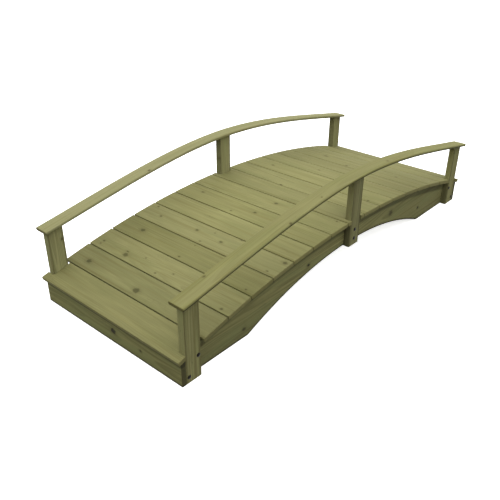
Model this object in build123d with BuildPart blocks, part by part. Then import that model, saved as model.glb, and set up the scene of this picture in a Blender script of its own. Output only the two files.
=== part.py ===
from build123d import *

import os
from math import cos, sin, sqrt, tan

# A garden footbridge in pressure-treated softwood. Two beams, sawn to an arch, stand on their ends and carry
# cross boards that lie flat on their round tops. Six posts are bolted to the outside of the beams, and on
# each side a thin board is sprung over the middle post and held down by the end posts, which makes an arched
# handrail. An end board closes each end.
# Lengths are in millimetres. +X runs along the bridge from its front end to its back end, +Y points to its
# left side and +Z is up. The origin is on the ground, under the middle of the bridge.

# Deck boards
board_count = 17
board_width = 140.0
board_gap = 5.0
board_thickness = 20.0
board_length = 939.0
board_edge_radius = 2.5

# Beams
beam_top_radius = 4464.0
beam_end_height = 128.0
beam_depth = 130.5  # at the crown of the arch
beam_thickness = 40.0
beam_foot_length = 406.0  # the flat stretch that stands on the ground, at each end
beam_edge_radius = 2.0

# End boards
end_board_thickness = 23.0
end_board_setback = 14.0  # how far the deck's lower edge stands out past the end board
end_board_edge_radius = 2.0

# Posts
post_width = 84.0  # along the bridge
post_thickness = 34.0  # across the bridge
post_setback = 6.0  # how far the ends of the deck boards stand out past the posts
post_edge_radius = 3.0

# Handrails
rail_width = 82.0
rail_thickness = 16.0
rail_middle_height = 239.0  # top of the rail above the top of the deck, at the middle of the bridge
rail_end_height = 247.0  # the same at the ends of the deck
rail_overhang = 15.0  # past the end posts
rail_edge_chamfer = 2.5

# Clearances
seat_clearance = 0.1
notch_clearance = 2.0
least_strip = 15.0  # narrowest strip of a deck board that is left beside a post
cut_overrun = 10.0

# Bending shape of a board that is held down at both ends and pushed up in the middle, as the shares of its
# rise that the four control points of a cubic have, from the middle to one end. With ends that are free to turn
# the third would be a half, and the flat tops of the end posts, which straighten the ends, make it less.
sprung_shares = (1.0, 1.0, 0.44, 0.0)

os.makedirs("parts", exist_ok=True)


# The deck follows the round top of the beams, one flat board for each step of the turn
board_turn = (board_width + board_gap) / beam_top_radius
end_index = (board_count - 1) / 2
end_tilt = end_index * board_turn
deck_radius = beam_top_radius + seat_clearance

deck_half_length = deck_radius * sin(end_tilt) + board_width / 2 * cos(end_tilt)
end_face = deck_half_length - end_board_setback  # the end board's outer face
beam_half_length = end_face - end_board_thickness

# Heights along the beams' round top, whose centre is far below the ground
crown_drop = beam_top_radius - sqrt(beam_top_radius**2 - beam_half_length**2)
crown_height = beam_end_height + crown_drop
centre_height = crown_height - beam_top_radius
arch_height = crown_height - beam_depth
arch_half_span = beam_half_length - beam_foot_length

# Places across the bridge
half_width = board_length / 2 - post_setback  # to the outer face of the posts
beam_outer = half_width - post_thickness
post_centre = half_width - post_thickness / 2

# Places of the posts along the bridge
end_post_centre = beam_half_length - post_width / 2
post_places = {"front": -end_post_centre, "middle": 0.0, "back": end_post_centre}

# The handrail's heights above the deck, at the middle and at the ends, say how far it is sprung
deck_middle_top = crown_height + seat_clearance + board_thickness
deck_end_top = centre_height + deck_radius * cos(end_tilt) - board_width / 2 * sin(end_tilt)
deck_end_top += board_thickness * cos(end_tilt)
rail_half_length = beam_half_length + rail_overhang
rail_low = deck_end_top + rail_end_height - rail_thickness
rail_rise = deck_middle_top + rail_middle_height - rail_thickness - rail_low


def sprung_point(step):
    """Control point of the handrail's lower face, step thirds of the way from the middle to the back end."""
    return rail_half_length * step / 3, rail_low + rail_rise * sprung_shares[step]


def rail_underside(x):
    """Height of the handrail's lower face at a place along the bridge: the cubic of those control points."""
    share = abs(x) / rail_half_length
    weights = ((1 - share) ** 3, 3 * share * (1 - share) ** 2, 3 * share**2 * (1 - share), share**3)
    return sum(weight * sprung_point(step)[1] for step, weight in enumerate(weights))


def board_plane(tilt):
    """Plane of a deck board's lower face, tangent to the beams' round top, with its normal pointing up."""
    foot = (deck_radius * sin(tilt), 0, centre_height + deck_radius * cos(tilt))
    return Plane(origin=foot, x_dir=(cos(tilt), 0, -sin(tilt)), z_dir=(sin(tilt), 0, cos(tilt)))


def save(part, name):
    part.label = name
    export_step(part, f"parts/{name}.step")


# Beams: flat feet, an arch between them and a round top
for side, y_inner in (("left", beam_outer - beam_thickness), ("right", -beam_outer)):
    with BuildPart() as beam:
        with BuildSketch(Plane.XZ.offset(-y_inner)):
            with BuildLine():
                Line((-beam_half_length, 0), (-arch_half_span, 0))
                ThreePointArc((-arch_half_span, 0), (0, arch_height), (arch_half_span, 0))
                Line((arch_half_span, 0), (beam_half_length, 0))
                Line((beam_half_length, 0), (beam_half_length, beam_end_height))
                top_arc = ThreePointArc(
                    (beam_half_length, beam_end_height),
                    (0, crown_height),
                    (-beam_half_length, beam_end_height),
                )
                Line(top_arc @ 1, (-beam_half_length, 0))
            make_face()
        extrude(amount=-beam_thickness)
        under_arch = beam.faces().filter_by(GeomType.CYLINDER).sort_by(Axis.Z)[0]
        fillet(under_arch.edges().filter_by(GeomType.CIRCLE), beam_edge_radius)
    save(beam.part, f"{side}_beam")


# End boards: they close the ends of the beams, under the deck's overhang
end_slope_height = centre_height + deck_radius * cos(end_tilt)
end_slope_height -= (end_face - deck_radius * sin(end_tilt)) * tan(end_tilt)
end_board_height = end_slope_height - seat_clearance
for end, x_low in (("front", -end_face), ("back", beam_half_length)):
    with BuildPart() as end_board:
        with BuildSketch():
            with Locations((x_low + end_board_thickness / 2, 0)):
                Rectangle(end_board_thickness, 2 * half_width)
        extrude(amount=end_board_height)
        outer_face = end_board.faces().sort_by(Axis.X)[0 if end == "front" else -1]
        fillet(outer_face.edges().filter_by(Axis.Y), end_board_edge_radius)
    save(end_board.part, f"{end}_end_board")


# Deck boards: each is cut away where a post passes it, and a strip too narrow to last beside a post goes too
def board_reach(tilt):
    """Lowest and highest place along the bridge that a deck board reaches."""
    middle = deck_radius * sin(tilt)
    lean = board_thickness * sin(tilt)
    half = board_width / 2 * cos(tilt)
    return middle - half + min(lean, 0), middle + half + max(lean, 0)


def post_cut(board_low, board_high, post_x):
    """Stretch along the bridge that a deck board leaves free for a post, or None where they don't meet."""
    low = post_x - post_width / 2 - notch_clearance
    high = post_x + post_width / 2 + notch_clearance
    if low >= board_high or high <= board_low:
        return None
    if low - board_low < least_strip:
        low = board_low - cut_overrun
    if board_high - high < least_strip:
        high = board_high + cut_overrun
    return low, high


notch_depth = board_length / 2 - beam_outer + notch_clearance
notch_centre = board_length / 2 - notch_depth / 2 + cut_overrun / 2
for index in range(board_count):
    tilt = (index - end_index) * board_turn
    with BuildPart() as deck_board:
        with BuildSketch(board_plane(tilt)):
            Rectangle(board_width, board_length)
        extrude(amount=board_thickness)
        fillet(deck_board.edges().filter_by(Axis.Y), board_edge_radius)
        for post_x in post_places.values():
            cut = post_cut(*board_reach(tilt), post_x)
            if cut:
                with BuildSketch():
                    with Locations((sum(cut) / 2, notch_centre), (sum(cut) / 2, -notch_centre)):
                        Rectangle(cut[1] - cut[0], notch_depth + cut_overrun)
                extrude(amount=crown_height + board_thickness + cut_overrun, mode=Mode.SUBTRACT)
    save(deck_board.part, f"deck_board_{index + 1:02d}")


# Posts: the end posts stand on the ground, the middle posts end level with the crown of the arch, and their
# tops are sawn to the slope of the handrail
for side, y_centre in (("left", post_centre), ("right", -post_centre)):
    for place, x_centre in post_places.items():
        foot_height = arch_height if place == "middle" else 0
        x_low, x_high = x_centre - post_width / 2, x_centre + post_width / 2
        with BuildPart() as post:
            with BuildSketch(Plane.XZ.offset(-y_centre)):
                with BuildLine():
                    Polyline(
                        (x_low, foot_height),
                        (x_high, foot_height),
                        (x_high, rail_underside(x_high) - seat_clearance),
                        (x_low, rail_underside(x_low) - seat_clearance),
                        close=True,
                    )
                make_face()
            extrude(amount=post_thickness / 2, both=True)
            fillet(post.edges().filter_by(Axis.Z), post_edge_radius)
        save(post.part, f"{side}_{place}_post")


# Handrails: a flat board with its edges planed off, carried along the sprung curve
for side, y_centre in (("left", post_centre), ("right", -post_centre)):
    half_curve = [sprung_point(step) for step in range(4)]
    with BuildPart() as rail:
        with BuildLine(Plane.XZ.offset(-y_centre)) as underside:
            Bezier(*[(-x, z) for x, z in reversed(half_curve)])
            Bezier(*half_curve)
        start = underside.wires()[0] @ 0
        along = underside.wires()[0] % 0
        with BuildSketch(Plane(origin=start, x_dir=(0, 1, 0), z_dir=along)) as section:
            with Locations((0, rail_thickness / 2)):
                Rectangle(rail_width, rail_thickness)
            chamfer(section.vertices(), rail_edge_chamfer)
        sweep(path=underside.wires()[0])
    save(rail.part, f"{side}_handrail")


deck_length = 2 * (deck_half_length + board_thickness * sin(end_tilt))
rail_span = 2 * post_centre + rail_width
overall_height = rail_underside(0) + rail_thickness
print(f"overall {deck_length:.0f} x {rail_span:.0f} x {overall_height:.0f} mm, arch {arch_height:.0f} mm")
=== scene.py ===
# %% [markdown]
# # An arched garden bridge in pressure-treated pine
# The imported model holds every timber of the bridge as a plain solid, at its true size and place. This
# lesson builds the surface that the eye sees: each timber gets a skin of its own with rounded arrises, and
# carries the run of its grain, its knots and its tone as attributes, so that one pine material can draw
# them all.

import bpy
import numpy as np
from mathutils import Matrix, Vector


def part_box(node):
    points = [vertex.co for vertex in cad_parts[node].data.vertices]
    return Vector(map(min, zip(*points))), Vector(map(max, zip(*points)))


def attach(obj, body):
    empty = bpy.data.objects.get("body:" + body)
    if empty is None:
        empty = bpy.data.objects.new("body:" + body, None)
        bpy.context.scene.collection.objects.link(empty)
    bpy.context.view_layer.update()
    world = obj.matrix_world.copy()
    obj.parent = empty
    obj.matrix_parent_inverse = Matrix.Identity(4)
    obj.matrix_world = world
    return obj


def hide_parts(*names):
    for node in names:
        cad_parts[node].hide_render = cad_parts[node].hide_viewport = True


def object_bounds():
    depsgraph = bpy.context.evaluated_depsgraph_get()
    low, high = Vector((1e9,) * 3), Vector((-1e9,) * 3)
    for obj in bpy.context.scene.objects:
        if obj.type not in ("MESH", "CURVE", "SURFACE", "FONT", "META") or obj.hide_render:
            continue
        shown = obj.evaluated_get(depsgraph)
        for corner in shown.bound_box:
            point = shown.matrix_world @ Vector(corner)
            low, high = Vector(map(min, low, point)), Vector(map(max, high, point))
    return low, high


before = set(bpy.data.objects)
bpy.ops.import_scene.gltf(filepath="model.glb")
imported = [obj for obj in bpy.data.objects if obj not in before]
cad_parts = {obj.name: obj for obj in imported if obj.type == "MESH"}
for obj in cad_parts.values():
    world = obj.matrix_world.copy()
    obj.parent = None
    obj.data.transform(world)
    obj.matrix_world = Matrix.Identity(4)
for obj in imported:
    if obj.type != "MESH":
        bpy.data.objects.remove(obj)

cad_box = [[float(value) for value in corner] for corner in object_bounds()]
print("CAD box in metres", cad_box)

# %% [markdown]
# ## Camera
# The photograph looks down on the near right corner of the bridge. A camera can be placed by eye, or by
# fitting it to points that are known on the object. Here the place, the turn and the focal length come from
# such a fit to the board gaps, posts and rails. The same numbers also tell where the ray through a pixel
# goes, which is used later to put the knots of the real boards where the photograph shows them.

# %% Camera
image_side = 500
focal_pixels = 614.0
film_side = 36.0
camera_place = np.array([-2.4185, -1.8776, 1.671])
camera_yaw, camera_pitch, camera_roll = np.radians([41.16, 29.43, 0.39])

ahead = np.array([
    np.cos(camera_yaw) * np.cos(camera_pitch),
    np.sin(camera_yaw) * np.cos(camera_pitch),
    -np.sin(camera_pitch),
])
level = np.cross(ahead, (0.0, 0.0, 1.0))
level /= np.linalg.norm(level)
upright = np.cross(level, ahead)
camera_right = np.cos(camera_roll) * level + np.sin(camera_roll) * upright
camera_up = np.cos(camera_roll) * upright - np.sin(camera_roll) * level

camera = bpy.data.objects.new("camera", bpy.data.cameras.new("camera"))
camera.data.sensor_width = film_side
camera.data.lens = film_side * focal_pixels / image_side
stand = np.eye(4)
stand[:3] = np.column_stack([camera_right, camera_up, -ahead, camera_place])
camera.matrix_world = Matrix(stand.tolist())
bpy.context.scene.collection.objects.link(camera)
bpy.context.scene.camera = camera
camera_distance = np.linalg.norm(camera_place)
print(f"camera lens {camera.data.lens:.1f} mm, {camera_distance:.2f} m from the bridge's middle")


# %% Rays through pixels
def pixel_ray(pixel):
    """Direction from the camera through a pixel: ahead, plus its offset from the centre over the focal
    length."""
    offset = (np.array(pixel) - image_side / 2) / focal_pixels
    return ahead + offset[0] * camera_right - offset[1] * camera_up


def pixel_on_face(pixel, axis, value):
    """Point where the ray through a pixel meets an upright face, which has one value along an axis."""
    ray = pixel_ray(pixel)
    return camera_place + ray * (value - camera_place[axis]) / ray[axis]


print("ray through the middle of the picture", pixel_ray((image_side / 2, image_side / 2)).round(3))


# %% [markdown]
# ## Measures
# A surface that replaces a solid has to sit exactly where the solid is, so the sizes are read from the
# frame instead of being typed again. The deck boards lie on a circle: the step from the middle board to the
# next gives the turn between boards and the radius. Only the rail's thickness, overhang and bend can't be
# read from a box, so they are given here.

# %% Deck measures
def corners(node):
    """Lowest and highest corner of a CAD node."""
    return [np.array(corner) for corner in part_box(node)]


deck_nodes = sorted(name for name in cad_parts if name.startswith("deck_board"))
board_count = len(deck_nodes)
middle_index = board_count // 2
board_centres = np.array([sum(corners(node)) / 2 for node in deck_nodes])
board_low, board_high = corners(deck_nodes[middle_index])
board_width, board_length, board_thickness = board_high - board_low

stride = board_centres[middle_index + 1] - board_centres[middle_index]
board_turn = 2 * np.arctan2(-stride[2], stride[0])
board_tilts = (np.arange(board_count) - middle_index) * board_turn
deck_radius = np.linalg.norm(stride) / (2 * np.sin(board_turn / 2))
circle_height = board_centres[middle_index][2] - deck_radius
print(f"{board_count} boards of {board_width * 1000:.0f} mm on a radius of {deck_radius:.3f} m")

# %% Beam measures
ground_tolerance = 1e-5
beam_low, beam_high = corners("left_beam")
beam_half_length = beam_high[0]
beam_radius = beam_high[2] - circle_height
beam_centre_y = (beam_low[1] + beam_high[1]) / 2
beam_points = np.array([vertex.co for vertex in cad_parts["left_beam"].data.vertices])
arch_half_span = np.abs(beam_points[beam_points[:, 2] < ground_tolerance, 0]).min()
arch_height = corners("left_middle_post")[0][2]
arch_radius = (arch_half_span**2 + arch_height**2) / (2 * arch_height)
print(f"arch half span {arch_half_span:.3f} m, crown {arch_height:.3f} m")

# %% Rail measures
rail_low, rail_high = corners("left_handrail")
rail_thickness = 0.016
rail_overhang = 0.015
rail_bend = 1.68
rail_half_length = beam_half_length + rail_overhang
rail_crown = rail_high[2] - rail_thickness
rail_rise = rail_crown - rail_low[2]


def rail_underside(x):
    """Height of a board that is held down at both ends and pushed up in the middle: a cubic of the share
    |x| / a. A bend of 1.5 is that of a board with free ends; the flat tops of the end posts raise it a
    little."""
    share = np.abs(x) / rail_half_length
    return rail_crown - rail_rise * (rail_bend * share**2 + (1 - rail_bend) * share**3)


print(f"rail rise {rail_rise:.3f} m over a half length of {rail_half_length:.3f} m")

# %% [markdown]
# ## A timber as a surface
# A planed timber is a flat slab with rounded arrises. It could be a cube with a Bevel modifier, but then
# the grain could not follow it. Here it is a grid of points over its middle surface, lifted to both faces.
# Near an edge the faces drop along a quarter circle, so the arris is part of the same formula. Cells of the
# grid can be left out, which cuts the notches for the posts, and a wall closes every free edge.

# %% Gridlines and arrises
arris_steps = 4
face_step = 0.016
arris = 0.0027
sawn_arris = 0.0008


def spaced(low, high, ease, stops=()):
    """Gridlines from low to high: close together over the rounded arris, then about even between the
    stops."""
    bend = ease * (1 - np.cos(np.linspace(0, np.pi / 2, arris_steps + 1)))
    marks = [low + ease, *sorted(stops), high - ease]
    runs = [
        np.linspace(start, end, max(1, round((end - start) / face_step)) + 1)[1:]
        for start, end in zip(marks[:-1], marks[1:])
    ]
    return np.concatenate([low + bend, *runs, (high - bend)[::-1][1:]])


def stretched(lines, low, high, ease):
    """Gridlines carried over to a span that differs from place to place, whose arrises keep their width."""
    total = lines[-1] - lines[0]
    start, end = np.minimum(lines - lines[0], ease), np.minimum(lines[-1] - lines, ease)
    share = np.clip((lines - lines[0] - ease) / (total - 2 * ease), 0, 1)
    return low + start + share * (high - low - 2 * ease) + ease - end


def arris_drop(distance, ease):
    """How far a face has dropped at a distance from its edge: a quarter circle of radius ease."""
    inside = np.clip(ease - distance, 0, ease)
    return ease - np.sqrt(ease**2 - inside**2)


def rounding(edges, ends, ease=arris):
    """Drop of a face near its long edges, rounded by ease, or near its sawn ends, whichever is more."""
    return np.maximum(arris_drop(edges, ease), arris_drop(ends, sawn_arris))


print(f"{len(spaced(0, board_width, arris))} gridlines over the width of a board")


# %% Faces of a slab
def slab_quads(kept):
    """Corner numbers of all quads of a slab whose grid cells are kept or left out: both faces, then the
    walls, one for each side of a kept cell that has no kept neighbour."""
    rows, columns = kept.shape
    number = np.arange((rows + 1) * (columns + 1)).reshape(rows + 1, columns + 1)
    below = number.size
    cells = np.stack([number[:-1, :-1], number[1:, :-1], number[1:, 1:], number[:-1, 1:]], -1)[kept]
    quads = [cells, cells[:, ::-1] + below]
    framed = np.pad(kept, 1)
    for beside, first, second in (
        (framed[:-2, 1:-1], number[:-1, :-1], number[:-1, 1:]),
        (framed[2:, 1:-1], number[1:, 1:], number[1:, :-1]),
        (framed[1:-1, :-2], number[1:, :-1], number[:-1, :-1]),
        (framed[1:-1, 2:], number[:-1, 1:], number[1:, 1:]),
    ):
        free = kept & ~beside
        start, end = first[free], second[free]
        quads.append(np.stack([start, end, end + below, start + below], -1))
    return np.concatenate(quads)


print(f"a slab of one cell has {len(slab_quads(np.ones((1, 1), bool)))} faces")


# %% Meshes and pieces
sharp_angle = np.radians(35)


def quad_mesh(name, points, quads, attributes=None):
    """Mesh of the quads and the points they use; an attribute has a value for each point or each quad
    corner."""
    used, renumbered = np.unique(quads, return_inverse=True)
    mesh = bpy.data.meshes.new(name)
    mesh.vertices.add(len(used))
    mesh.vertices.foreach_set("co", points[used].astype(np.float32).ravel())
    mesh.loops.add(quads.size)
    mesh.loops.foreach_set("vertex_index", renumbered.astype(np.int32).ravel())
    mesh.polygons.add(len(quads))
    mesh.polygons.foreach_set("loop_start", np.arange(0, quads.size, 4, dtype=np.int32))
    mesh.update(calc_edges=True)
    mesh.polygons.foreach_set("use_smooth", np.ones(len(quads), bool))
    mesh.set_sharp_from_angle(angle=sharp_angle)
    for label, values in (attributes or {}).items():
        kind, field = ("FLOAT", "value") if values.ndim == 1 else ("FLOAT_VECTOR", "vector")
        domain, kept_values = ("POINT", values[used]) if len(values) == len(points) else ("CORNER", values)
        layer = mesh.attributes.new(label, kind, domain)
        layer.data.foreach_set(field, kept_values.astype(np.float32).ravel())
    return mesh


def show(mesh, slot, *nodes):
    """Put a mesh in the scene as a piece of the bridge, which rides on its one body and stands for the
    nodes."""
    piece = bpy.data.objects.new(mesh.name, mesh)
    bpy.context.scene.collection.objects.link(piece)
    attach(piece, "root")
    if nodes:
        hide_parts(*nodes)
    return piece


print(f"edges of timbers stay sharp over {np.degrees(sharp_angle):.0f} degrees")


# %% [markdown]
# ## Grain, knots and tone
# A plank is sawn from a log, and what shows on its faces is where the log's growth rings come out. So each
# timber remembers where the heart of its log was: along, across and through, in metres from the heart.
# Knots are branches that were cut across, and every point remembers the way to its nearest knot and how
# thick that is; a dead branch, which leaves a black knot, has a thickness below zero. Each piece also has a
# tone of its own, because no two boards take up the preservative alike. The tones are matched to the
# photograph timber by timber, so they may hold a little of its light as well.

# %% Place in the log
chance = np.random.default_rng(17)
heart_aside, heart_lean, log_length = 0.05, 0.014, 40
heart_depths = 0.03, 0.12


def place_in_log(places):
    """Places along, across and through a timber, told from the heart of its log, which leans along the
    timber."""
    along, across, through = places.T
    aside, depth = chance.normal(0, heart_aside), chance.choice([-1, 1]) * chance.uniform(*heart_depths)
    lean = chance.normal(0, heart_lean, 2)
    return np.stack([
        along + chance.uniform(0, log_length),
        across - aside + lean[0] * along,
        through - depth + lean[1] * along,
    ], -1)


def straight_places(faces, middle, axes):
    """Places of both faces' points along, across and through a straight timber."""
    return (np.concatenate([face.reshape(-1, 3) for face in faces]) - middle) @ np.array(axes).T


print("hearts of the logs lie", heart_depths, "m from the middle of a timber")


# %% Knots
far_off = 9.0
no_knot = far_off, far_off, 0.001
knot_reach = 3
knot_radii = 0.002, 0.008
knot_spread_along, knot_spread_across = 0.48, 0.42
knot_size_shape, knot_size_scale = 3.0, 0.0012


def way_to_knot(places, quads, knots):
    """For each corner of each quad, its offset along and across the grain from the knot that is nearest to
    the quad, and that knot's radius. One knot for a whole quad keeps the offset even, so that no false knot
    shows between."""
    knots = np.array(knots or [no_knot])
    corner_places = places[quads, :2]
    distance = np.linalg.norm(corner_places.mean(1)[:, None] - knots[None, :, :2], axis=-1)
    nearest = knots[(distance - knot_reach * np.abs(knots[:, 2])).argmin(1)][:, None]
    radii = np.broadcast_to(nearest[..., 2:], corner_places.shape[:2] + (1,))
    return np.concatenate([corner_places - nearest[..., :2], radii], -1).reshape(-1, 3)


def scattered_knots(length, width, per_metre):
    """Knots at random places on a timber, about so many for each metre of it, most of them small."""
    count = chance.poisson(per_metre * length)
    return list(zip(
        chance.uniform(-knot_spread_along, knot_spread_along, count) * length,
        chance.uniform(-knot_spread_across, knot_spread_across, count) * width,
        np.clip(chance.gamma(knot_size_shape, knot_size_scale, count), *knot_radii),
    ))


print("scattered knots have radii of", knot_radii, "m")


# %% Timber
tone_spread = 0.02
along_x, along_y, along_z = np.eye(3)


def timber_tone(light=0.0, warm=0.0, grey=0.0):
    """Lightness, warmth and greyness of one timber, as shares, with a little chance added to each."""
    return np.array([light, warm, grey]) + chance.normal(0, tone_spread, 3)


def timber(node, slot, faces, places, edges, ends, knots, tone, kept=None, overhang_depth=far_off):
    """One timber from the points of its two faces, with each point's place in the timber, its distance from
    the nearest long edge and from the nearest sawn end, and the grid cells that are kept. The tone is one
    for the whole timber or one for each point. The last argument is how far a point lies below the deck, as
    a multiple of the deck's overhang there; from it the material paints shade under the deck."""
    upper, lower = faces
    kept = np.ones([count - 1 for count in edges.shape], bool) if kept is None else kept
    quads = slab_quads(kept)
    grid_way = np.cross(upper[1, 0] - upper[0, 0], upper[0, 1] - upper[0, 0])
    if grid_way @ (upper[0, 0] - lower[0, 0]) < 0:
        quads = quads[:, ::-1]
    attributes = {
        "grain": place_in_log(places),
        "knot": way_to_knot(places, quads, knots),
        "tone": np.broadcast_to(tone, (len(places), 3)),
        "arris": np.tile(edges.ravel(), 2),
        "sawn_end": np.tile(ends.ravel(), 2),
        "overhang_depth": np.tile(np.broadcast_to(overhang_depth, edges.shape).ravel(), 2),
    }
    points = np.concatenate([face.reshape(-1, 3) for face in faces])
    return show(quad_mesh(f"pine_{node}", points, quads, attributes), slot, node)


print(f"tones of like timbers vary by about {tone_spread:.0%}")


# %% [markdown]
# ## Deck boards
# Each board is flat and lies tangent to the round top of the beams, so its middle is a rectangle on a
# tilted plane. The saw cut the notches upright, for upright posts, so on a tilted board the lower face is
# cut a little further along than the upper one: the two faces use gridlines that are shifted between the
# same stops. The knots that the photograph shows are found by following the ray through their pixel to the
# board that it meets.

# %% Knots of the deck
deck_knot_pixels = [
    (89, 261, 0.013), (136, 290.5, 0.015), (125.3, 254.8, 0.013), (143, 230, 0.012), (158.5, 206.5, 0.005),
    (161, 216, 0.006), (197, 230, 0.008), (221, 242, 0.008), (203, 192, 0.007), (104.2, 240.6, 0.006),
    (179, 256.5, 0.005), (155, 273, 0.004), (255, 212.5, 0.008), (276, 203.5, 0.009), (242.5, 240, 0.007),
    (285, 263, 0.010), (267, 271, 0.005), (281, 184.5, 0.006), (337, 221.5, 0.005), (326, 156, 0.011),
    (346.5, 165.5, 0.008), (273, 165, 0.007), (368, 200.5, 0.006), (396, 177, 0.007), (146, 258, 0.004),
    (173.5, 274, 0.004), (100.7, 243, 0.004), (127, 252, 0.009), (216, 232, 0.003), (200, 241, 0.004),
    (195, 245.5, 0.003), (231, 210.5, 0.005), (215, 233, 0.003), (319, 170, 0.006), (221.5, 309, 0.006),
    (246, 289.5, 0.004),
]
board_ways = np.stack([
    np.column_stack([np.cos(board_tilts), 0 * board_tilts, -np.sin(board_tilts)]),
    np.tile(along_y, (board_count, 1)),
    np.column_stack([np.sin(board_tilts), 0 * board_tilts, np.cos(board_tilts)]),
], 1)


def deck_knots():
    """For each board, the photograph's knots: where a pixel's ray meets the plane of its upper face."""
    found = [[] for _ in range(board_count)]
    upward = board_ways[:, 2]
    height = ((board_centres - camera_place) * upward).sum(1) + board_thickness / 2
    for x, y, radius in deck_knot_pixels:
        ray = pixel_ray((x, y))
        hits = camera_place + ray * (height / (upward @ ray))[:, None] - board_centres
        across = (hits * board_ways[:, 0]).sum(1)
        index = np.abs(across).argmin()
        found[index].append((hits[index, 1], across[index], radius))
    return found


print(f"{len(deck_knot_pixels)} knots on the deck")

# %% Notches for the posts
notch_clearance = 0.002
post_width = np.ptp(np.array(corners("left_middle_post"))[:, 0])
post_inner_y = corners("left_middle_post")[0][1]
end_post_x = corners("left_back_post")[1][0]


def post_notch(index):
    """Stretch of a board, in places along the bridge, that is cut away for posts, or None."""
    if index == middle_index:
        reach = post_width / 2 + notch_clearance
        return -reach, reach
    if index == board_count - 1:
        return -np.inf, end_post_x + notch_clearance
    if index == 0:
        return -end_post_x - notch_clearance, np.inf
    return None


print(f"notches for posts {post_width * 1000:.0f} mm wide")


# %% Deck boards
most_cup = 0.0008


def deck_board(index, knots, tone):
    """A rectangle of gridlines on the board's plane. Both faces are half its thickness from its middle,
    less the arris drop and a slight cup, and the cells of a notch are left out."""
    way, side, up = board_ways[index]
    half_width, half_length = board_width / 2, board_length / 2
    notch = post_notch(index)
    stops, shifted, breaks = [], [], []
    if notch:
        cuts = [cut - board_centres[index][0] for cut in notch if np.isfinite(cut)]
        stops = [(cut - up[0] * board_thickness / 2) / way[0] for cut in cuts]
        shifted = [(cut + up[0] * board_thickness / 2) / way[0] for cut in cuts]
        breaks = [-post_inner_y + notch_clearance, post_inner_y - notch_clearance]
    lines = spaced(-half_width, half_width, arris, stops)
    ends = [half_width - arris, half_width]
    marks = [[-end for end in reversed(ends)] + inner + ends for inner in (stops, shifted)]
    lower_lines = np.interp(lines, *marks)
    runs = spaced(-half_length, half_length, sawn_arris, breaks)

    edges = np.minimum((half_width - np.abs(lines))[:, None], np.full(len(runs), half_width))
    end_distance = np.tile(half_length - np.abs(runs), (len(lines), 1))
    drop = rounding(edges, end_distance)
    cup = chance.uniform(0, most_cup) * (lines / half_width) ** 2
    lift = board_thickness / 2 - drop - cup[:, None]
    faces = [
        board_centres[index]
        + row[:, None, None] * way
        + runs[None, :, None] * side
        + (sign * lift)[..., None] * up
        for row, sign in ((lines, 1), (lower_lines, -1))
    ]
    kept = np.ones((len(lines) - 1, len(runs) - 1), bool)
    if notch:
        rows, columns = (lines[:-1] + lines[1:]) / 2, np.abs(runs[:-1] + runs[1:]) / 2
        low = stops[0] if np.isfinite(notch[0]) else -np.inf
        high = stops[-1] if np.isfinite(notch[1]) else np.inf
        kept = ~(((rows > low) & (rows < high))[:, None] & (columns > breaks[1]))
    places = straight_places(faces, board_centres[index], (side, way, up))
    return timber(deck_nodes[index], "deck_pine", faces, places, edges, end_distance, knots, tone, kept)


print(f"deck boards cup by up to {most_cup * 1000:.1f} mm")


# %% Deck
board_tones = {
    1: (-0.14, 0.1, 0.0), 2: (-0.16, 0.0, -0.02), 3: (-0.03, 0.1, -0.02), 4: (-0.11, 0.0, -0.02),
    5: (0.02, 0.0, 0.0), 6: (0.07, 0.0, 0.0), 8: (0.06, 0.0, 0.0), 9: (-0.03, 0.05, 0.0),
    10: (0.10, 0.0, 0.0), 11: (0.14, 0.0, 0.0), 12: (0.03, 0.0, 0.0), 13: (-0.01, 0.1, 0.0),
    14: (-0.02, 0.1, 0.0), 17: (-0.05, 0.0, 0.0),
}
deck = [
    deck_board(index, knots, timber_tone(*board_tones.get(index + 1, ())))
    for index, knots in enumerate(deck_knots())
]
print(f"{len(deck)} deck boards of {len(deck[1].data.polygons)} faces")

# %% [markdown]
# ## Beams
# A beam is sawn from a straight plank: the saw follows the two curves, but the grain runs straight through.
# The surface is a grid between two height curves, the arch below and the round top, and the grain keeps the
# plank's own straight axes, so the fibres run out at the curved edges as they do on the real one. The tone
# darkens towards the feet, over the lowest few centimetres; a second material could do that too, but a
# tone that changes from point to point keeps one plank one plank.

# %% Beam curves
def beam_top(x):
    """Height of the round top: a circle about a centre far below the ground."""
    return circle_height + np.sqrt(beam_radius**2 - x**2)


def beam_bottom(x):
    """Height of the lower edge: a circular arch between two flat feet on the ground."""
    arch = arch_height - arch_radius + np.sqrt(np.maximum(arch_radius**2 - x**2, 0))
    return np.where(np.abs(x) < arch_half_span, arch, 0.0)


print(f"beams {1000 * (beam_top(0) - beam_bottom(0)):.0f} mm deep at the crown")

# %% Knots on upright faces
beam_knot_pixels = [(390.5, 213, 0.017), (417.5, 207.5, -0.009), (308.5, 265, -0.008), (244, 329, 0.009)]


def knots_on_face(marks, axis, value, middle, ways):
    """Knots of the photograph on an upright face: where the ray through each pixel meets it, told along and
    across the timber from its middle."""
    return [(*(pixel_on_face(pixel, axis, value) - middle)[ways], radius) for *pixel, radius in marks]


print(f"{len(beam_knot_pixels)} knots on the near beam")

# %% Beams
beam_light, foot_light, foot_height = 0.01, -0.25, 0.12
hidden_knot_width, hidden_knots_per_metre = 0.10, 1.0


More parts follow.
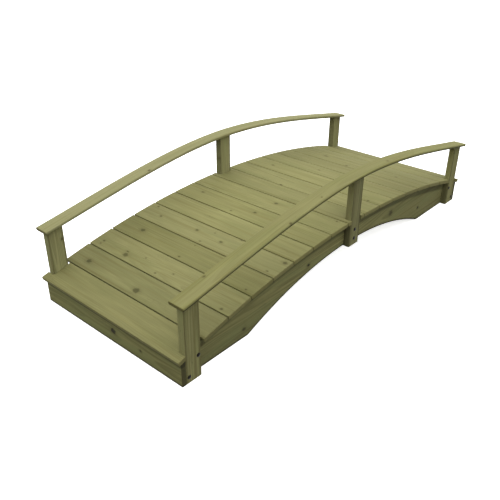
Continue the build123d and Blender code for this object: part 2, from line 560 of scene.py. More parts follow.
def beam(node, sign):
    """Gridlines along the beam, and between its lower and upper curve at each of them; both faces are half
    the beam's thickness from its middle, less the arris drop."""
    x = spaced(-beam_half_length, beam_half_length, sawn_arris, (-arch_half_span, arch_half_span))[:, None]
    low, high = beam_bottom(x), beam_top(x)
    z = stretched(spaced(0, beam_high[2] - arch_height, arris), low, high, arris)
    edges = np.minimum(z - low, high - z)
    end_distance = np.broadcast_to(beam_half_length - np.abs(x), z.shape)
    drop = rounding(edges, end_distance)
    lift = (beam_high[1] - beam_low[1]) / 2 - drop
    middle = np.array([0, sign * beam_centre_y, arch_height])
    faces = [
        np.stack(np.broadcast_arrays(x, sign * beam_centre_y + side * lift, z), -1) for side in (1, -1)
    ]
    places = straight_places(faces, middle, (along_x, along_z, along_y))
    if sign > 0:
        knots = scattered_knots(2 * beam_half_length, hidden_knot_width, hidden_knots_per_metre)
    else:
        knots = knots_on_face(beam_knot_pixels, 1, -beam_high[1], middle, [0, 2])
    # painted shade: the beam is drawn darker close under the deck's overhang
    overhang_depth = (high - z) / (board_length / 2 - beam_high[1])
    foot_share = np.clip(1 - z / foot_height, 0, 1)
    tone = timber_tone(beam_light) + np.tile(foot_share.ravel(), 2)[:, None] * (foot_light, 0, 0)
    return timber(node, "frame_pine", faces, places, edges, end_distance, knots, tone, overhang_depth=overhang_depth)


beams = [beam("left_beam", 1), beam("right_beam", -1)]
print(f"beams of {len(beams[0].data.polygons)} faces")

# %% [markdown]
# ## End boards and posts
# These are plain straight timbers, so each is a rectangle of gridlines. Only the posts' tops differ: they
# are sawn to the slope of the handrail, so the upper gridlines follow the rail's underside. The narrow
# sides of a post get a lightness of their own, which is painted light and shade matched to the
# photograph post by post, and under the deck it is lower, by painted shade.

# %% End boards
end_knot_pixels = [(113.2, 331, -0.014), (140.5, 351.3, 0.007)]
end_board_light, end_knots_per_metre = 0.03, 1.5
end_overhang = cad_box[1][0] - corners("back_end_board")[1][0]


def end_board(node):
    """A rectangle of gridlines across the bridge, both faces half the board's thickness from its middle,
    less the arris drop."""
    low, high = corners(node)
    y = spaced(low[1], high[1], sawn_arris)[:, None]
    z = spaced(low[2], high[2], arris)[None, :]
    edges = np.broadcast_to(np.minimum(z - low[2], high[2] - z), (y.size, z.size))
    end_distance = np.broadcast_to(high[1] - np.abs(y), (y.size, z.size))
    drop = rounding(edges, end_distance)
    middle = (low + high) / 2
    lift = (high[0] - low[0]) / 2 - drop
    faces = [np.stack(np.broadcast_arrays(middle[0] + side * lift, y, z), -1) for side in (1, -1)]
    places = straight_places(faces, middle, (along_y, along_z, along_x))
    if middle[0] < 0:
        knots = knots_on_face(end_knot_pixels, 0, low[0], middle, [1, 2])
    else:
        knots = scattered_knots(high[1] - low[1], high[2] - low[2], end_knots_per_metre)
    # painted shade: the end board is drawn darker close under the deck's overhang
    overhang_depth = (high[2] - z) / end_overhang
    tone = timber_tone(end_board_light)
    return timber(node, "frame_pine", faces, places, edges, end_distance, knots, tone, overhang_depth=overhang_depth)


end_boards = [end_board(name) for name in ("front_end_board", "back_end_board")]
print(f"{len(end_boards)} end boards of {len(end_boards[0].data.polygons)} faces")

# %% Posts
seat_gap = 0.0001
post_knots_per_metre = 0.6
post_knot_pixels = {"left_front_post": [(62, 239, 0.006)], "left_middle_post": [(219.5, 159, -0.007)]}
post_tones = {
    "left_front_post": (0.20, 0.0, 0.05), "left_middle_post": (0.28, 0.0, 0.05),
    "left_back_post": (0.12, 0.0, 0.05), "right_front_post": (0.04, 0.0, 0.0),
    "right_middle_post": (-0.18, 0.0, 0.0), "right_back_post": (-0.04, 0.0, 0.0),
}
# painted light and shade on the narrow sides of each post, and painted shade on them under the deck
post_side_painted_light = {
    "left_front_post": -0.06, "left_middle_post": -0.32, "left_back_post": -0.20,
    "right_front_post": 0.10, "right_middle_post": 0.30, "right_back_post": 0.30,
}
under_deck_painted_shade = -0.28


def post(side, place):
    """A rectangle of gridlines whose upper edge slopes with the rail, both faces half the post's thickness
    from its middle, less the arris drop. The tone passes over to the painted light and shade of the narrow
    sides on the way round the arris, with painted shade under the deck."""
    node = f"{side}_{place}_post"
    low, high = corners(node)
    x = spaced(low[0], high[0], arris)[:, None]
    tops = rail_underside(np.array([low[0], high[0]])) - seat_gap
    top = np.interp(x, [low[0], high[0]], tops)
    z = stretched(spaced(low[2], high[2], sawn_arris), low[2], top, sawn_arris)
    edges = np.broadcast_to(np.minimum(x - low[0], high[0] - x), z.shape)
    end_distance = np.minimum(z - low[2], top - z)
    drop = rounding(edges, end_distance)
    middle = (low + high) / 2
    lift = (high[1] - low[1]) / 2 - drop
    faces = [np.stack(np.broadcast_arrays(x, middle[1] + way * lift, z), -1) for way in (1, -1)]
    places = straight_places(faces, middle, (along_z, along_x, along_y))
    knots = scattered_knots(high[2] - low[2], high[0] - low[0], post_knots_per_metre)
    knots += knots_on_face(post_knot_pixels.get(node, []), 1, low[1], middle, [2, 0])
    # painted light and shade on the narrow sides, and painted shade under the deck
    side_painted_light = np.where(z < beam_top(x), under_deck_painted_shade, post_side_painted_light[node])
    painted_side_tone = np.clip(1 - edges / arris, 0, 1) * side_painted_light
    tone = timber_tone(*post_tones[node]) + np.tile(painted_side_tone.ravel(), 2)[:, None] * (1, 0, 0)
    return timber(node, "post_pine", faces, places, edges, end_distance, knots, tone)


posts = [post(side, place) for side in ("left", "right") for place in ("front", "middle", "back")]
print(f"{len(posts)} posts of {len(posts[0].data.polygons)} faces")

# %% [markdown]
# ## Handrails
# Each handrail is one thin straight board that is bent over the middle post and fixed down at the ends. Its
# middle surface is the sprung curve carried across the rail's width, lifted along the curve's own normal,
# and its grain follows the bend, because the board was straight when the tree grew. A hand slides along it,
# so its edges are rounded more than those of the other timbers. The photograph shows a dark line along the
# lower edge of the right rail, so its lower arrises carry painted shade, a darker tone.

# %% Points on a rail
nearest_ray, farthest_ray, ray_steps = 1.0, 5.0, 4001


def rail_normal(x):
    """The way straight up from the sprung board at x: at right angles to the slope of its cubic."""
    share = np.abs(x) / rail_half_length
    steepness = 2 * rail_bend * share + 3 * (1 - rail_bend) * share**2
    slope = -np.sign(x) * rail_rise / rail_half_length * steepness
    return np.stack([-slope, 0 * slope, 1 + 0 * slope], -1) / np.hypot(1, slope)[..., None]


def pixel_on_rail(pixel):
    """Where the ray through a pixel meets the upper face of a rail: the nearest of many close steps along
    the ray."""
    steps = camera_place + np.linspace(nearest_ray, farthest_ray, ray_steps)[:, None] * pixel_ray(pixel)
    return steps[np.abs(steps[:, 2] - rail_underside(steps[:, 0]) - rail_thickness).argmin()]


end_normal = rail_normal(np.array([rail_half_length]))[0]
print(f"rails tilt by {np.degrees(np.arccos(end_normal[2])):.1f} degrees at their ends")


# %% Handrails
rail_arris = 0.005
rail_tones = {"left_handrail": (0.03, 0.0, 0.0), "right_handrail": (-0.18, 0.0, -0.13)}
# painted shade on the lower arrises of the right rail
lower_arris_painted_shade = {"left_handrail": 0.0, "right_handrail": -0.60}
rail_knot_pixels = {
    "left_handrail": [(149.5, 170, -0.007), (178, 157.5, 0.004)],
    "right_handrail": [(204.5, 276.3, 0.006), (291, 223, 0.006), (387.5, 161, 0.007), (322, 197, 0.004)],
}


def handrail(node):
    """Gridlines along and across the straight board, set on the sprung curve; both faces are half its
    thickness from its middle along the curve's normal, less the arris drop. The tone changes towards the
    painted shade of the lower arrises on the way to them."""
    low, high = corners(node)
    centre_y = (low[1] + high[1]) / 2
    x = spaced(-rail_half_length, rail_half_length, sawn_arris, (0.0,))
    y = spaced(low[1], high[1], rail_arris)
    across, run = np.meshgrid(y - centre_y, x)
    edges = (high[1] - low[1]) / 2 - np.abs(across)
    end_distance = rail_half_length - np.abs(run)
    drop = rounding(edges, end_distance, rail_arris)
    lift = rail_thickness / 2 - drop
    up = rail_normal(run)
    middle = np.stack([run, across + centre_y, rail_underside(run)], -1) + up * rail_thickness / 2
    faces = [middle + (side * lift)[..., None] * up for side in (1, -1)]
    places = np.concatenate([
        np.stack([run, across, side * lift], -1).reshape(-1, 3) for side in (1, -1)
    ])
    knots = [
        (*(pixel_on_rail(pixel)[:2] - (0, centre_y)), radius) for *pixel, radius in rail_knot_pixels[node]
    ]
    # painted shade along the lower arrises
    arris_share = np.clip(1 - edges / rail_arris, 0, 1).ravel()
    lower_arris_shade_share = np.concatenate([0 * arris_share, arris_share])[:, None]
    tone = timber_tone(*rail_tones[node]) + lower_arris_shade_share * (lower_arris_painted_shade[node], 0, 0)
    return timber(node, "rail_pine", faces, places, edges, end_distance, knots, tone)


rails = [handrail("left_handrail"), handrail("right_handrail")]
print(f"rails of {len(rails[0].data.polygons)} faces")

# %% [markdown]
# ## Bolts
# The posts are bolted through the beams with coach bolts: a small domed head shows on the post, and a
# washer with a nut on the inner face of the beam. At the ends the two bolts of a post sit on a diagonal so
# that they don't split the same fibres, and on the middle posts one above the other. All are turned shapes,
# so each is a profile carried round an axis, with six-sided rings where a spanner fits.

# %% Turned fixings
fixing_sharp_angle = np.radians(40)


def turned(name, profile, places, outward, sides=24):
    """At each place, rings of a (radius, height, six-sidedness) profile about the outward way, closed by
    flat caps."""
    radius, height, share = np.array(profile).T
    places, outward = np.atleast_2d(places), np.broadcast_to(outward, np.shape(np.atleast_2d(places)))
    angle = np.arange(sides) * 2 * np.pi / sides
    flat_side = np.cos(np.pi / 6) / np.cos(angle % (np.pi / 3) - np.pi / 6)
    ring = radius[:, None] * (1 + share[:, None] * (flat_side - 1))
    first = np.cross(outward, along_x)
    second = np.cross(outward, first)
    points = (
        places[:, None, None]
        + (ring * np.cos(angle))[None, ..., None] * first[:, None, None]
        + (ring * np.sin(angle))[None, ..., None] * second[:, None, None]
        + height[None, :, None, None] * outward[:, None, None]
    )
    number = np.arange(points[..., 0].size).reshape(points.shape[:3])
    turned_on = np.roll(number, -1, 2)
    walls = np.stack([number[:, :-1], turned_on[:, :-1], turned_on[:, 1:], number[:, 1:]], -1)
    mesh = bpy.data.meshes.new(name)
    caps = number[:, -1].tolist() + number[:, 0, ::-1].tolist()
    mesh.from_pydata(points.reshape(-1, 3).tolist(), [], walls.reshape(-1, 4).tolist() + caps)
    mesh.polygons.foreach_set("use_smooth", np.ones(len(mesh.polygons), bool))
    mesh.set_sharp_from_angle(angle=fixing_sharp_angle)
    return show(mesh, "fixing_steel")


print(f"edges of fixings stay sharp over {np.degrees(fixing_sharp_angle):.0f} degrees")


# %% Profiles of bolt and nut
head_radius, head_height, head_rim, dome_foot = 0.0095, 0.0045, 0.0008, 0.0010
dome_share, dome_steps = 0.97, 6
dome = np.linspace(0, np.pi / 2, dome_steps + 1)[:-1]
bolt_head = [(head_radius, 0, 0), (head_radius, head_rim, 0)] + [
    (head_radius * dome_share * np.cos(turn), dome_foot + (head_height - dome_foot) * np.sin(turn), 0)
    for turn in dome
]
washer_radius, washer_top = 0.0090, 0.0016
nut_radius, nut_chamfer_radius, nut_chamfer_height, nut_top = 0.0058, 0.0052, 0.0064, 0.0070
bolt_radius, bolt_tip_radius, thread_top, bolt_tip = 0.0030, 0.0025, 0.0120, 0.0126
washer_and_nut = [
    (washer_radius, 0, 0), (washer_radius, washer_top, 0),
    (nut_radius, washer_top, 1), (nut_radius, nut_chamfer_height, 1), (nut_chamfer_radius, nut_top, 1),
    (bolt_radius, nut_top, 0), (bolt_radius, thread_top, 0), (bolt_tip_radius, bolt_tip, 0),
]
print(f"bolt heads {2000 * head_radius:.0f} mm across, washers {2000 * washer_radius:.0f} mm")

# %% Bolts in place
end_bolts = [(0.014, 0.111), (post_width - 0.016, 0.031)]
middle_bolts = [(post_width / 2, 0.088), (post_width / 2, 0.038)]


def bolt_places(side, place):
    """Bolts of one post, from their distance to its inner edge and their height above its foot."""
    low, high = corners(f"{side}_{place}_post")
    step = 1 if place == "back" else -1
    inner_edge = low[0] if place == "back" else high[0]
    pairs = middle_bolts if place == "middle" else end_bolts
    return np.array([(inner_edge + step * away, 0, low[2] + height) for away, height in pairs])


beam_inner_y, post_outer_y = beam_low[1], corners("left_middle_post")[1][1]
fixings = []
for side, sign in (("left", 1), ("right", -1)):
    bolts = np.concatenate([bolt_places(side, place) for place in ("front", "middle", "back")])
    outward = sign * along_y
    fixings += [
        turned(f"coach_bolt_heads_{side}", bolt_head, bolts + post_outer_y * outward, outward),
        turned(f"coach_bolt_nuts_{side}", washer_and_nut, bolts + beam_inner_y * outward, -outward),
    ]
print(f"{2 * len(bolts)} coach bolts")

# %% [markdown]
# ## Pressure-treated pine
# The boards are pine that was planed and then soaked under pressure with a copper preservative. The wood
# stays matt and open-grained; the copper turns the pale sapwood olive green, the late wood of each ring
# stays browner, and blotches and pale streaks show where the liquid went in more or less. Sawn ends soak
# up most of it and are darker, and the long edges of the frame and posts are drawn darker too. Close under
# the deck the timber is darker by painted shade. An image would repeat from board to board, so the
# pattern is worked out from the attributes.

# %% Node helper
def linear(hex_colour):
    """An sRGB hex colour as linear red, green, blue and alpha."""
    value = np.array([int(hex_colour[start:start + 2], 16) for start in (1, 3, 5)]) / 255
    value = np.where(value <= 0.04045, value / 12.92, ((value + 0.055) / 1.055) ** 2.4)
    return (*(float(channel) for channel in value), 1.0)


def add(tree, kind, inputs=None, **settings):
    """Add a node, set its properties, and fill inputs, by name or number, with values, sockets or nodes."""
    node = tree.nodes.new(kind)
    for name, value in settings.items():
        setattr(node, name, value)
    for key, value in (inputs or {}).items():
        socket = node.inputs[key] if isinstance(key, int) else next(
            each for each in node.inputs if each.enabled and each.name == key
        )
        if isinstance(value, bpy.types.Node):
            value = next(each for each in value.outputs if each.enabled)
        if isinstance(value, bpy.types.NodeSocket):
            tree.links.new(value, socket)
        else:
            socket.default_value = value
    return node


def new_material(name):
    """An empty node material."""
    material = bpy.data.materials.new(name)
    material.use_nodes = True
    material.node_tree.nodes.clear()
    return material, material.node_tree


math, vector_math = "ShaderNodeMath", "ShaderNodeVectorMath"
mix, ramp = "ShaderNodeMix", "ShaderNodeMapRange"
print("mid grey in linear light", round(linear("#808080")[0], 3))

# %% [markdown]
# ### Grain, rings and knots
# Everything in wood is long along the grain and short across it, so each pattern is a noise over the place
# in the log, divided by its length and its width. The growth rings are the distance from the heart of the
# log, counted in ring widths. Where a branch grew, the rings flow round its knot.

# %% Patterns along the grain
fibre_size = 0.30, 0.0030  # real fibres are far finer than a pixel; drawn this coarse so that they show
streak_size = 0.80, 0.016
blotch_size = 0.35, 0.060
pale_size = 0.28, 0.024
wander_size, wander_depth = (0.45, 0.09), 0.016
check_size, check_zone_size = (0.25, 0.0065), (0.22, 0.05)
ragged_size, ragged_depth = (0.014, 0.009), 1.1


def drawn_out(tree, grain, size, detail):
    """Noise over the place in the log, divided by a size along the grain and one across it."""
    along, across = size
    shares = 1 / along, 1 / across, 1 / across
    scaled = add(tree, vector_math, {0: grain, 1: shares}, operation="MULTIPLY")
    noise = add(tree, "ShaderNodeTexNoise", {"Vector": scaled, "Scale": 1.0, "Detail": detail})
    return noise.outputs["Fac"]


print(f"fibres {fibre_size[1] * 1000:.0f} mm wide, streaks {streak_size[1] * 1000:.0f} mm")


# %% Distance from a knot
knot_stretch, flow_stretch = 1.35, 2.6


def knot_radii_away(tree, knot, stretch):
    """Distance from the nearest knot in knot radii, where a length along the grain counts less by the
    stretch."""
    radius = add(tree, "ShaderNodeSeparateXYZ", {"Vector": knot}).outputs["Z"]
    size = add(tree, math, {0: radius}, operation="ABSOLUTE")
    way = add(tree, vector_math, {0: knot, 1: (1 / stretch, 1, 0)}, operation="MULTIPLY")
    span = add(tree, vector_math, {0: way}, operation="LENGTH").outputs["Value"]
    return add(tree, math, {0: span, 1: size}, operation="DIVIDE")


print(f"knots {knot_stretch} times as long as wide")


# %% Growth rings
ring_width = 0.0046
flow_fading = -0.25


def growth_rings(tree, grain, knot):
    """Late wood of the rings: the distance from the heart in ring widths, whose fraction darkens slowly and
    then falls back. Near a knot the rings are pushed aside, less and less with the square of the
    distance."""
    place = add(tree, "ShaderNodeSeparateXYZ", {"Vector": grain})
    knot_across = add(tree, "ShaderNodeSeparateXYZ", {"Vector": knot}).outputs["Y"]
    flow = knot_radii_away(tree, knot, flow_stretch)
    flow_square = add(tree, math, {0: flow, 1: flow}, operation="MULTIPLY")
    fading = add(tree, math, {0: flow_square, 1: flow_fading}, operation="MULTIPLY")
    fade = add(tree, math, {0: fading}, operation="EXPONENT")
    pushed = add(tree, math, {0: fade, 1: knot_across}, operation="MULTIPLY")
    bent_across = add(tree, math, {0: place.outputs["Y"], 1: pushed}, operation="SUBTRACT")

    heart_way = add(tree, "ShaderNodeCombineXYZ", {"Y": bent_across, "Z": place.outputs["Z"]})
    heart_distance = add(tree, vector_math, {0: heart_way}, operation="LENGTH").outputs["Value"]
    wander = drawn_out(tree, grain, wander_size, 1.0)
    swerve = add(tree, math, {0: wander, 1: wander_depth, 2: heart_distance}, operation="MULTIPLY_ADD")
    ring_number = add(tree, math, {0: swerve, 1: ring_width}, operation="DIVIDE")
    ring = add(tree, math, {0: ring_number}, operation="FRACT")
    rise = add(tree, ramp, {
        "Value": ring, "From Min": 0.20, "From Max": 0.90,
    }, interpolation_type="SMOOTHSTEP")
    fall = add(tree, ramp, {
        "Value": ring, "From Min": 1.0, "From Max": 0.86,
    }, interpolation_type="SMOOTHSTEP")
    return add(tree, math, {0: rise, 1: fall}, operation="MULTIPLY")


print(f"growth rings {ring_width * 1000:.1f} mm wide")


# %% [markdown]
# ### Colour
# The colour is built up as the real one came about: first the wood with its rings, then what the
# preservative did to it, then the knots, the drying checks and the thirsty sawn edges. Each layer is a mix
# towards one more colour, with a share that a pattern gives.

# %% Wood and preservative
most_green, most_streak = 0.60, 0.65


def wood_colour(tree, grain, late_wood, warm, early, late, green, brown, ring_share):
    """Early wood, mixed to late wood by the rings, to green in blotches, and to brown in streaks and by the
    timber's own warmth."""
    ring_depth = add(tree, math, {0: late_wood, 1: ring_share}, operation="MULTIPLY")
    colour = add(tree, mix, {"Factor": ring_depth, "A": linear(early), "B": linear(late)}, data_type="RGBA")
    green_share = add(tree, ramp, {
        "Value": drawn_out(tree, grain, blotch_size, 2.0),
        "From Min": 0.40, "From Max": 0.70, "To Max": most_green,
    }, interpolation_type="SMOOTHSTEP")
    colour = add(tree, mix, {"Factor": green_share, "A": colour, "B": linear(green)}, data_type="RGBA")
    streak_share = add(tree, ramp, {
        "Value": drawn_out(tree, grain, streak_size, 2.0),
        "From Min": 0.48, "From Max": 0.74, "To Max": most_streak,
    }, interpolation_type="SMOOTHSTEP")
    colour = add(tree, mix, {"Factor": streak_share, "A": colour, "B": linear(brown)}, data_type="RGBA")
    warm_share = add(tree, ramp, {"Value": warm, "To Max": 1.0})
    return add(tree, mix, {"Factor": warm_share, "A": colour, "B": linear(brown)}, data_type="RGBA")


print(f"green blotches up to {most_green:.0%}, brown streaks up to {most_streak:.0%}")


# %% Knots in the wood
most_halo, live_core, dead_core = 0.42, 0.66, 0.95


def knot_colour(tree, colour, grain, knot, late, knot_core):
    """Late wood in a ring round each knot, and the dark core in it, darker where the branch was dead."""
    ragged = drawn_out(tree, grain, ragged_size, 2.0)
    radii = knot_radii_away(tree, knot, knot_stretch)
    uneven = add(tree, math, {0: ragged, 1: ragged_depth, 2: radii}, operation="MULTIPLY_ADD")
    halo = add(tree, ramp, {
        "Value": uneven, "From Min": 3.0, "From Max": 1.3, "To Max": most_halo,
    }, interpolation_type="SMOOTHSTEP")
    colour = add(tree, mix, {"Factor": halo, "A": colour, "B": linear(late)}, data_type="RGBA")
    dead = add(tree, ramp, {
        "Value": add(tree, "ShaderNodeSeparateXYZ", {"Vector": knot}).outputs["Z"],
        "From Min": 0.0005, "From Max": -0.0005, "To Min": live_core, "To Max": dead_core,
    })
    core = add(tree, ramp, {
        "Value": uneven, "From Min": 1.75, "From Max": 1.05,
    }, interpolation_type="SMOOTHSTEP")
    core_share = add(tree, math, {0: core, 1: dead}, operation="MULTIPLY")
    return add(tree, mix, {"Factor": core_share, "A": colour, "B": linear(knot_core)}, data_type="RGBA")


print(f"live knots {live_core:.0%} of the core's colour, dead ones {dead_core:.0%}")


# %% Drying checks
check_middle, check_darkness = 0.5, 0.45


def drying_checks(tree, grain):
    """Thin cracks along the grain: where a noise crosses its middle value, in the few zones where a second
    noise is high."""
    check_noise = drawn_out(tree, grain, check_size, 1.0)
    check_gap = add(tree, math, {0: check_noise, 1: check_middle}, operation="SUBTRACT")
    check_width = add(tree, math, {0: check_gap}, operation="ABSOLUTE")
    check_line = add(tree, ramp, {"Value": check_width, "From Min": 0.012, "From Max": 0.003})
    zone_noise = drawn_out(tree, grain, check_zone_size, 1.0)
    check_zone = add(tree, ramp, {"Value": zone_noise, "From Min": 0.62, "From Max": 0.70})
    return add(tree, math, {0: check_line, 1: check_zone}, operation="MULTIPLY")


print(f"drying checks about {check_size[1] * 1000:.1f} mm apart")


# %% Sawn ends and edges
end_soak, end_darkness = (0.004, 0.0004), 0.75
edge_dark_band, arris_reach = (0.014, 0.005), 0.002


def sawn_colour(tree, colour, sawn, edge_share, side_share):
    """The colour of soaked wood within some millimetres of a sawn end, and a darker colour along a long
    edge where the finish has an edge share; side_share says how much of that stays on the narrow sides."""
    arris_distance, end_distance = (
        add(tree, "ShaderNodeAttribute", attribute_name=label).outputs["Fac"]
        for label in ("arris", "sawn_end")
    )
    end_share = add(tree, ramp, {
        "Value": end_distance, "From Min": end_soak[0], "From Max": end_soak[1], "To Max": end_darkness,
    }, interpolation_type="SMOOTHSTEP")
    edge_side = add(tree, ramp, {
        "Value": arris_distance, "From Min": edge_dark_band[0], "From Max": edge_dark_band[1], "To Max": edge_share,
    }, interpolation_type="SMOOTHSTEP")
    off_arris = add(tree, ramp, {"Value": arris_distance, "From Max": arris_reach, "To Min": side_share})
    edge = add(tree, math, {0: edge_side, 1: off_arris}, operation="MULTIPLY")
    sawn_share = add(tree, math, {0: end_share, 1: edge}, operation="MAXIMUM")
    return add(tree, mix, {"Factor": sawn_share, "A": colour, "B": linear(sawn)}, data_type="RGBA")


print(f"sawn ends are dark for {end_soak[0] * 1000:.0f} mm, long edges for {edge_dark_band[0] * 1000:.0f} mm")


# %% Lightness
fibre_dark, fibre_light, most_pale = 0.88, 1.12, 0.10
# the painted shade under the deck fades in between these depths, given in multiples of the overhang
painted_shade_fade_line, painted_shade_full_line, painted_shade_darkness = 1.55, 1.20, 0.50


def own_lightness(tree, grain, fibre, light):
    """Lightness of the timber: that of its fibres and its own tone, more in pale streaks, and less close
    under the deck, where painted shade darkens it."""
    overhang_depth = add(tree, "ShaderNodeAttribute", attribute_name="overhang_depth").outputs["Fac"]
    fibres = add(tree, ramp, {
        "Value": fibre, "From Min": 0.25, "From Max": 0.75, "To Min": fibre_dark, "To Max": fibre_light,
    })
    pale = add(tree, ramp, {
        "Value": drawn_out(tree, grain, pale_size, 2.0),
        "From Min": 0.52, "From Max": 0.72, "To Max": most_pale,
    }, interpolation_type="SMOOTHSTEP")
    # painted shade close under the deck
    painted_overhang_shade = add(tree, ramp, {
        "Value": overhang_depth, "From Min": painted_shade_fade_line, "From Max": painted_shade_full_line, "To Max": painted_shade_darkness,
    }, interpolation_type="SMOOTHSTEP")
    paler = add(tree, math, {0: fibres, 1: pale}, operation="ADD")
    shaded_lightness = add(tree, math, {0: paler, 1: painted_overhang_shade}, operation="SUBTRACT")
    return add(tree, math, {0: light, 1: shaded_lightness}, operation="ADD")


print(f"fibres vary the lightness from {fibre_dark} to {fibre_light}")


# %% [markdown]
# ### Surface
# Planed pine is matt, so its gloss is weak and uneven along the fibres. The four finishes differ in their
# colours, in how strongly the rings show, and in how dark the long edges are.

# %% Pine
relief_rings, relief_checks, relief_strength, relief_depth = 0.5, -1.5, 0.35, 0.0006
dullness_range = 0.70, 0.86
wood_gloss = 0.12


def pine(name, early, late, green, brown, knot_core, sawn, ring_share, edge_share, side_share):
    """Treated pine, with colours as sRGB hex: ring_share is how strongly the rings show, edge_share how
    dark the faces are along their long edges, and side_share how dark the narrow sides are."""
    material, tree = new_material(name)
    grain, knot, tone = (
        add(tree, "ShaderNodeAttribute", attribute_name=label).outputs["Vector"]
        for label in ("grain", "knot", "tone")
    )
    light, warm, grey = add(tree, "ShaderNodeSeparateXYZ", {"Vector": tone}).outputs
    fibre = drawn_out(tree, grain, fibre_size, 3.0)
    late_wood = growth_rings(tree, grain, knot)
    check = drying_checks(tree, grain)

    colour = wood_colour(tree, grain, late_wood, warm, early, late, green, brown, ring_share)
    colour = knot_colour(tree, colour, grain, knot, late, knot_core)
    check_depth = add(tree, math, {0: check, 1: check_darkness}, operation="MULTIPLY")
    colour = add(tree, mix, {"Factor": check_depth, "A": colour, "B": linear(knot_core)}, data_type="RGBA")
    colour = sawn_colour(tree, colour, sawn, edge_share, side_share)
    fullness = add(tree, math, {0: 1.0, 1: grey}, operation="SUBTRACT")
    colour = add(tree, "ShaderNodeHueSaturation", {
        "Saturation": fullness, "Value": own_lightness(tree, grain, fibre, light), "Color": colour,
    })

    relief = add(tree, math, {0: late_wood, 1: relief_rings, 2: fibre}, operation="MULTIPLY_ADD")
    relief = add(tree, math, {0: check, 1: relief_checks, 2: relief}, operation="MULTIPLY_ADD")
    bump = add(tree, "ShaderNodeBump", {
        "Strength": relief_strength, "Distance": relief_depth, "Height": relief,
    })
    dullness = add(tree, ramp, {
        "Value": fibre, "From Min": 0.2, "From Max": 0.8,
        "To Min": dullness_range[0], "To Max": dullness_range[1],
    })
    surface = add(tree, "ShaderNodeBsdfPrincipled", {
        "Base Color": colour, "Roughness": dullness, "Specular IOR Level": wood_gloss, "Normal": bump,
    })
    add(tree, "ShaderNodeOutputMaterial", {"Surface": surface})
    print(f"{name}: {len(tree.nodes)} nodes")
    return material


# %% Finishes
deck_finish = pine(
    "planed_treated_pine_deck", early="#7D7B51", late="#64603D", green="#707047", brown="#6B663E",
    knot_core="#38361C", sawn="#6E6A43", ring_share=0.35, edge_share=0.0, side_share=0.0,
)
rail_finish = pine(
    "planed_treated_pine_rail", early="#82805A", late="#6D6947", green="#777850", brown="#757149",
    knot_core="#463F28", sawn="#5A5633", ring_share=0.30, edge_share=0.0, side_share=0.0,
)
post_finish = pine(
    "planed_treated_pine_post", early="#828056", late="#625F3E", green="#787B4F", brown="#645E39",
    knot_core="#2A2617", sawn="#4E4A2B", ring_share=0.60, edge_share=0.65, side_share=0.0,
)
frame_finish = pine(
    "sawn_treated_pine_frame", early="#7A784E", late="#5C5937", green="#6F734A", brown="#5C5632",
    knot_core="#1E1B10", sawn="#252213", ring_share=0.65, edge_share=0.90, side_share=1.0,
)
for finish, pieces in (
    (deck_finish, deck), (rail_finish, rails), (post_finish, posts), (frame_finish, beams + end_boards),
):
    for piece in pieces:
        piece.data.materials.append(finish)
    print(f"{finish.name} on {len(pieces)} timbers")

# %% [markdown]
# ## Zinc-plated steel
# Coach bolts are forged from steel and plated with zinc, which dulls to a dark grey in the open. The metal
# reflects the studio softly, and small blotches break up the gloss.

# %% Zinc-plated steel
zinc_blotch_size = 0.003
zinc_dullness = 0.28, 0.45


def zinc_steel():
    """A dark metal whose colour and roughness both follow one noise of small blotches."""
    material, tree = new_material("dulled_zinc_plated_steel")
    where = add(tree, "ShaderNodeTexCoord").outputs["Object"]
    blotch = add(tree, "ShaderNodeTexNoise", {
        "Vector": where, "Scale": 1 / zinc_blotch_size, "Detail": 2.0,
    })
    colour = add(tree, mix, {
        "Factor": blotch.outputs["Fac"], "A": linear("#12110D"), "B": linear("#23211B"),
    }, data_type="RGBA")
    dullness = add(tree, ramp, {
        "Value": blotch.outputs["Fac"], "From Min": 0.3, "From Max": 0.7,
        "To Min": zinc_dullness[0], "To Max": zinc_dullness[1],
    })
    surface = add(tree, "ShaderNodeBsdfPrincipled", {
        "Base Color": colour, "Metallic": 1.0, "Roughness": dullness,
    })
    add(tree, "ShaderNodeOutputMaterial", {"Surface": surface})
    return material


steel = zinc_steel()
for piece in fixings:
    piece.data.materials.append(steel)
print(f"{steel.name} on {len(fixings)} sets of fixings")

# %% [markdown]
# ## Floor and light
# The photograph is a cut-out on white. Its light comes from a wide bright sky that leans a little to the
# front and the right: the deck is even and there are no hard shadows. The ground that was cut away was
# darker than the deck, because upright faces are dim and the places under an overhang are nearly black. A
# white floor would light them from below, so it is left out of the diffuse light and the reflections, and a
# weak light from below stands for the ground. The floor shines faintly by itself, so that the shadow on it
# nearly vanishes, as it does on a cut-out. A second weak light from behind keeps the far side readable when
# the bridge is seen from there.

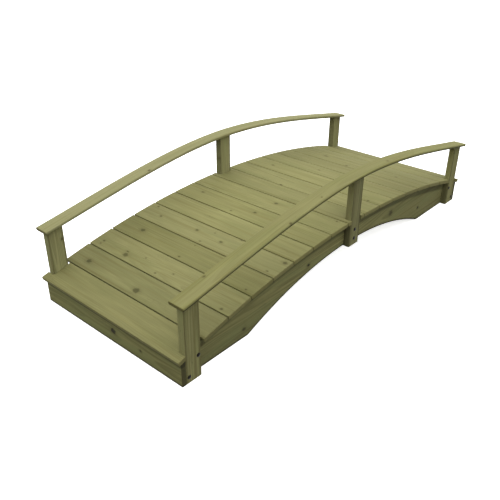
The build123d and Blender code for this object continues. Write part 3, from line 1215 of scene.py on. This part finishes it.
# %% Floor
floor_reach, floor_depth, floor_shine = 30.0, 0.0005, 0.75
floor_cloud_size = 1.25
floor_points = np.array([(-1, -1, 0), (1, -1, 0), (1, 1, 0), (-1, 1, 0)]) * floor_reach
floor_mesh = quad_mesh("floor", floor_points - floor_depth * along_z, np.array([[0, 1, 2, 3]]))
floor = bpy.data.objects.new("floor", floor_mesh)
bpy.context.scene.collection.objects.link(floor)
floor.visible_diffuse = floor.visible_glossy = floor.visible_shadow = False

floor_finish, tree = new_material("matt_white_floor")
floor_place = add(tree, "ShaderNodeTexCoord").outputs["Object"]
floor_cloud = add(tree, "ShaderNodeTexNoise", {
    "Vector": floor_place, "Scale": 1 / floor_cloud_size, "Detail": 1.0,
})
floor_colour = add(tree, mix, {
    "Factor": floor_cloud.outputs["Fac"], "A": linear("#F7F7F6"), "B": linear("#FAFAF9"),
}, data_type="RGBA")
floor_surface = add(tree, "ShaderNodeBsdfPrincipled", {
    "Base Color": floor_colour, "Roughness": 0.95, "Specular IOR Level": 0.1,
    "Emission Color": floor_colour, "Emission Strength": floor_shine,
})
add(tree, "ShaderNodeOutputMaterial", {"Surface": floor_surface})
floor.data.materials.append(floor_finish)
print(f"floor of {2 * floor_reach:.0f} m")

# %% Light
light_spread = np.radians(136)
lights = (
    ("light_above", (-0.08, -0.17, 1.0), 4.92),
    ("light_behind", (0.5, 0.8, 0.2), 0.7),
    ("light_below", (0.0, 0.0, -1.0), 0.3),
)
for name, way, energy in lights:
    lamp = bpy.data.objects.new(name, bpy.data.lights.new(name, "SUN"))
    lamp.data.energy, lamp.data.angle = energy, light_spread
    lamp.rotation_euler = Vector(way).to_track_quat("Z", "Y").to_euler()
    bpy.context.scene.collection.objects.link(lamp)

sky = bpy.data.worlds.new("white_studio")
sky.use_nodes = True
background = sky.node_tree.nodes["Background"]
background.inputs["Color"].default_value = (1.0, 1.0, 1.0, 1.0)
background.inputs["Strength"].default_value = 1.0
sky.cycles_visibility.diffuse = False
bpy.context.scene.world = sky
bpy.context.scene.view_settings.view_transform = "Standard"
print(f"{len(lights)} lights")
